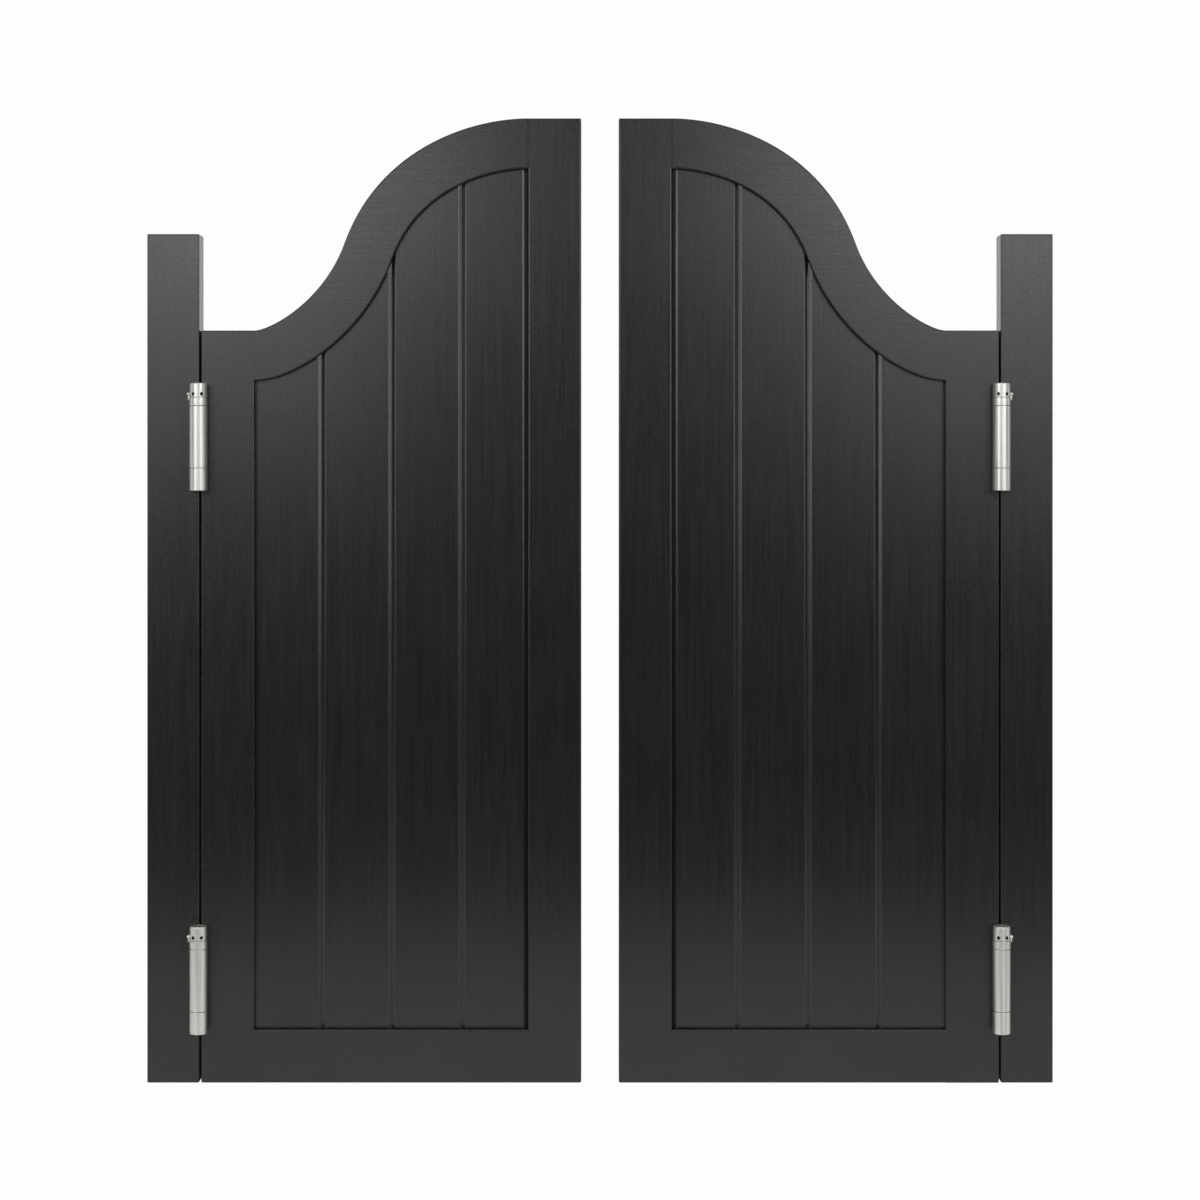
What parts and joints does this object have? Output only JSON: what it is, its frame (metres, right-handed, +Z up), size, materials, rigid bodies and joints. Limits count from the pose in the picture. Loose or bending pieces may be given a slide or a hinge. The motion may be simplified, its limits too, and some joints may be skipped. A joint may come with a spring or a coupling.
{
  "type": "cafe swinging doors",
  "caption": "Pair of ogee-topped boarded saloon doors in black paint, each hung on its own post by double-action spring hinges, free to swing both ways and return.",
  "frame": {"origin": "On the bottom line, midway between the two doors and in the middle of their thickness", "axes": "+X to the right and +Y away from the viewer of the front, +Z up along the posts"},
  "size_m": [0.939, 0.0706, 1],
  "materials": {
    "painted_wood": "satin black paint on wood",
    "satin_steel": "satin stainless",
    "bright_steel": "turned bright",
    "spring_steel": "oiled spring wire"
  },
  "bodies": {
    "posts": {"left_post": "painted_wood", "right_post": "painted_wood", "left_upper_jamb_leaf": "satin_steel", "left_lower_jamb_leaf": "satin_steel", "right_upper_jamb_leaf": "satin_steel", "right_lower_jamb_leaf": "satin_steel"},
    "left_centre": {"left_upper_centre_leaf": "satin_steel", "left_lower_centre_leaf": "satin_steel"},
    "left_door": {"left_hinge_stile": "painted_wood", "left_meeting_stile": "painted_wood", "left_top_rail": "painted_wood", "left_bottom_rail": "painted_wood", "left_board_1": "painted_wood", "left_board_2": "painted_wood", "left_board_3": "painted_wood", "left_board_4": "painted_wood", "left_upper_door_leaf": "satin_steel", "left_lower_door_leaf": "satin_steel"},
    "right_centre": {"right_upper_centre_leaf": "satin_steel", "right_lower_centre_leaf": "satin_steel"},
    "right_door": {"right_hinge_stile": "painted_wood", "right_meeting_stile": "painted_wood", "right_top_rail": "painted_wood", "right_bottom_rail": "painted_wood", "right_board_1": "painted_wood", "right_board_2": "painted_wood", "right_board_3": "painted_wood", "right_board_4": "painted_wood", "right_upper_door_leaf": "satin_steel", "right_lower_door_leaf": "satin_steel"},
    "left_upper_front_tension": {"left_upper_front_collar": "satin_steel", "left_upper_front_pin": "bright_steel", "left_upper_front_spring": "spring_steel"},
    "left_upper_rear_tension": {"left_upper_rear_collar": "satin_steel", "left_upper_rear_pin": "bright_steel", "left_upper_rear_spring": "spring_steel"},
    "left_lower_front_tension": {"left_lower_front_collar": "satin_steel", "left_lower_front_pin": "bright_steel", "left_lower_front_spring": "spring_steel"},
    "left_lower_rear_tension": {"left_lower_rear_collar": "satin_steel", "left_lower_rear_pin": "bright_steel", "left_lower_rear_spring": "spring_steel"},
    "right_upper_front_tension": {"right_upper_front_collar": "satin_steel", "right_upper_front_pin": "bright_steel", "right_upper_front_spring": "spring_steel"},
    "right_upper_rear_tension": {"right_upper_rear_collar": "satin_steel", "right_upper_rear_pin": "bright_steel", "right_upper_rear_spring": "spring_steel"},
    "right_lower_front_tension": {"right_lower_front_collar": "satin_steel", "right_lower_front_pin": "bright_steel", "right_lower_front_spring": "spring_steel"},
    "right_lower_rear_tension": {"right_lower_rear_collar": "satin_steel", "right_lower_rear_pin": "bright_steel", "right_lower_rear_spring": "spring_steel"}
  },
  "joints": [
    {"name": "left_front_swing", "type": "hinge", "parent": "posts", "child": "left_centre", "pos_m": [-0.4145, -0.026, 0.5], "axis": [0, 0, -1], "range_deg": [0, 90], "stiffness_Nm_per_rad": 1.3, "springref_deg": -45.84, "deforming": ["left_upper_front_spring", "left_lower_front_spring"]},
    {"name": "left_rear_swing", "type": "hinge", "parent": "left_centre", "child": "left_door", "pos_m": [-0.4145, 0.026, 0.5], "axis": [0, 0, -1], "range_deg": [-90, 0], "stiffness_Nm_per_rad": 1.3, "springref_deg": 45.84, "deforming": ["left_upper_rear_spring", "left_lower_rear_spring"]},
    {"name": "right_front_swing", "type": "hinge", "parent": "posts", "child": "right_centre", "pos_m": [0.4145, -0.026, 0.5], "axis": [0, 0, 1], "range_deg": [0, 90], "stiffness_Nm_per_rad": 1.3, "springref_deg": -45.84, "deforming": ["right_upper_front_spring", "right_lower_front_spring"]},
    {"name": "right_rear_swing", "type": "hinge", "parent": "right_centre", "child": "right_door", "pos_m": [0.4145, 0.026, 0.5], "axis": [0, 0, 1], "range_deg": [-90, 0], "stiffness_Nm_per_rad": 1.3, "springref_deg": 45.84, "deforming": ["right_upper_rear_spring", "right_lower_rear_spring"]},
    {"name": "left_upper_front_winding", "type": "hinge", "parent": "posts", "child": "left_upper_front_tension", "pos_m": [-0.4145, -0.026, 0.714], "axis": [0, 0, 1], "range_deg": [0, 120], "stiffness_Nm_per_rad": 0.1, "springref_deg": -114.59},
    {"name": "left_upper_rear_winding", "type": "hinge", "parent": "left_door", "child": "left_upper_rear_tension", "pos_m": [-0.4145, 0.026, 0.714], "axis": [0, 0, 1], "range_deg": [0, 120], "stiffness_Nm_per_rad": 0.1, "springref_deg": -114.59},
    {"name": "left_lower_front_winding", "type": "hinge", "parent": "posts", "child": "left_lower_front_tension", "pos_m": [-0.4145, -0.026, 0.154], "axis": [0, 0, 1], "range_deg": [0, 120], "stiffness_Nm_per_rad": 0.1, "springref_deg": -114.59},
    {"name": "left_lower_rear_winding", "type": "hinge", "parent": "left_door", "child": "left_lower_rear_tension", "pos_m": [-0.4145, 0.026, 0.154], "axis": [0, 0, 1], "range_deg": [0, 120], "stiffness_Nm_per_rad": 0.1, "springref_deg": -114.59},
    {"name": "right_upper_front_winding", "type": "hinge", "parent": "posts", "child": "right_upper_front_tension", "pos_m": [0.4145, -0.026, 0.714], "axis": [0, 0, -1], "range_deg": [0, 120], "stiffness_Nm_per_rad": 0.1, "springref_deg": -114.59},
    {"name": "right_upper_rear_winding", "type": "hinge", "parent": "right_door", "child": "right_upper_rear_tension", "pos_m": [0.4145, 0.026, 0.714], "axis": [0, 0, -1], "range_deg": [0, 120], "stiffness_Nm_per_rad": 0.1, "springref_deg": -114.59},
    {"name": "right_lower_front_winding", "type": "hinge", "parent": "posts", "child": "right_lower_front_tension", "pos_m": [0.4145, -0.026, 0.154], "axis": [0, 0, -1], "range_deg": [0, 120], "stiffness_Nm_per_rad": 0.1, "springref_deg": -114.59},
    {"name": "right_lower_rear_winding", "type": "hinge", "parent": "right_door", "child": "right_lower_rear_tension", "pos_m": [0.4145, 0.026, 0.154], "axis": [0, 0, -1], "range_deg": [0, 120], "stiffness_Nm_per_rad": 0.1, "springref_deg": -114.59}
  ]
}
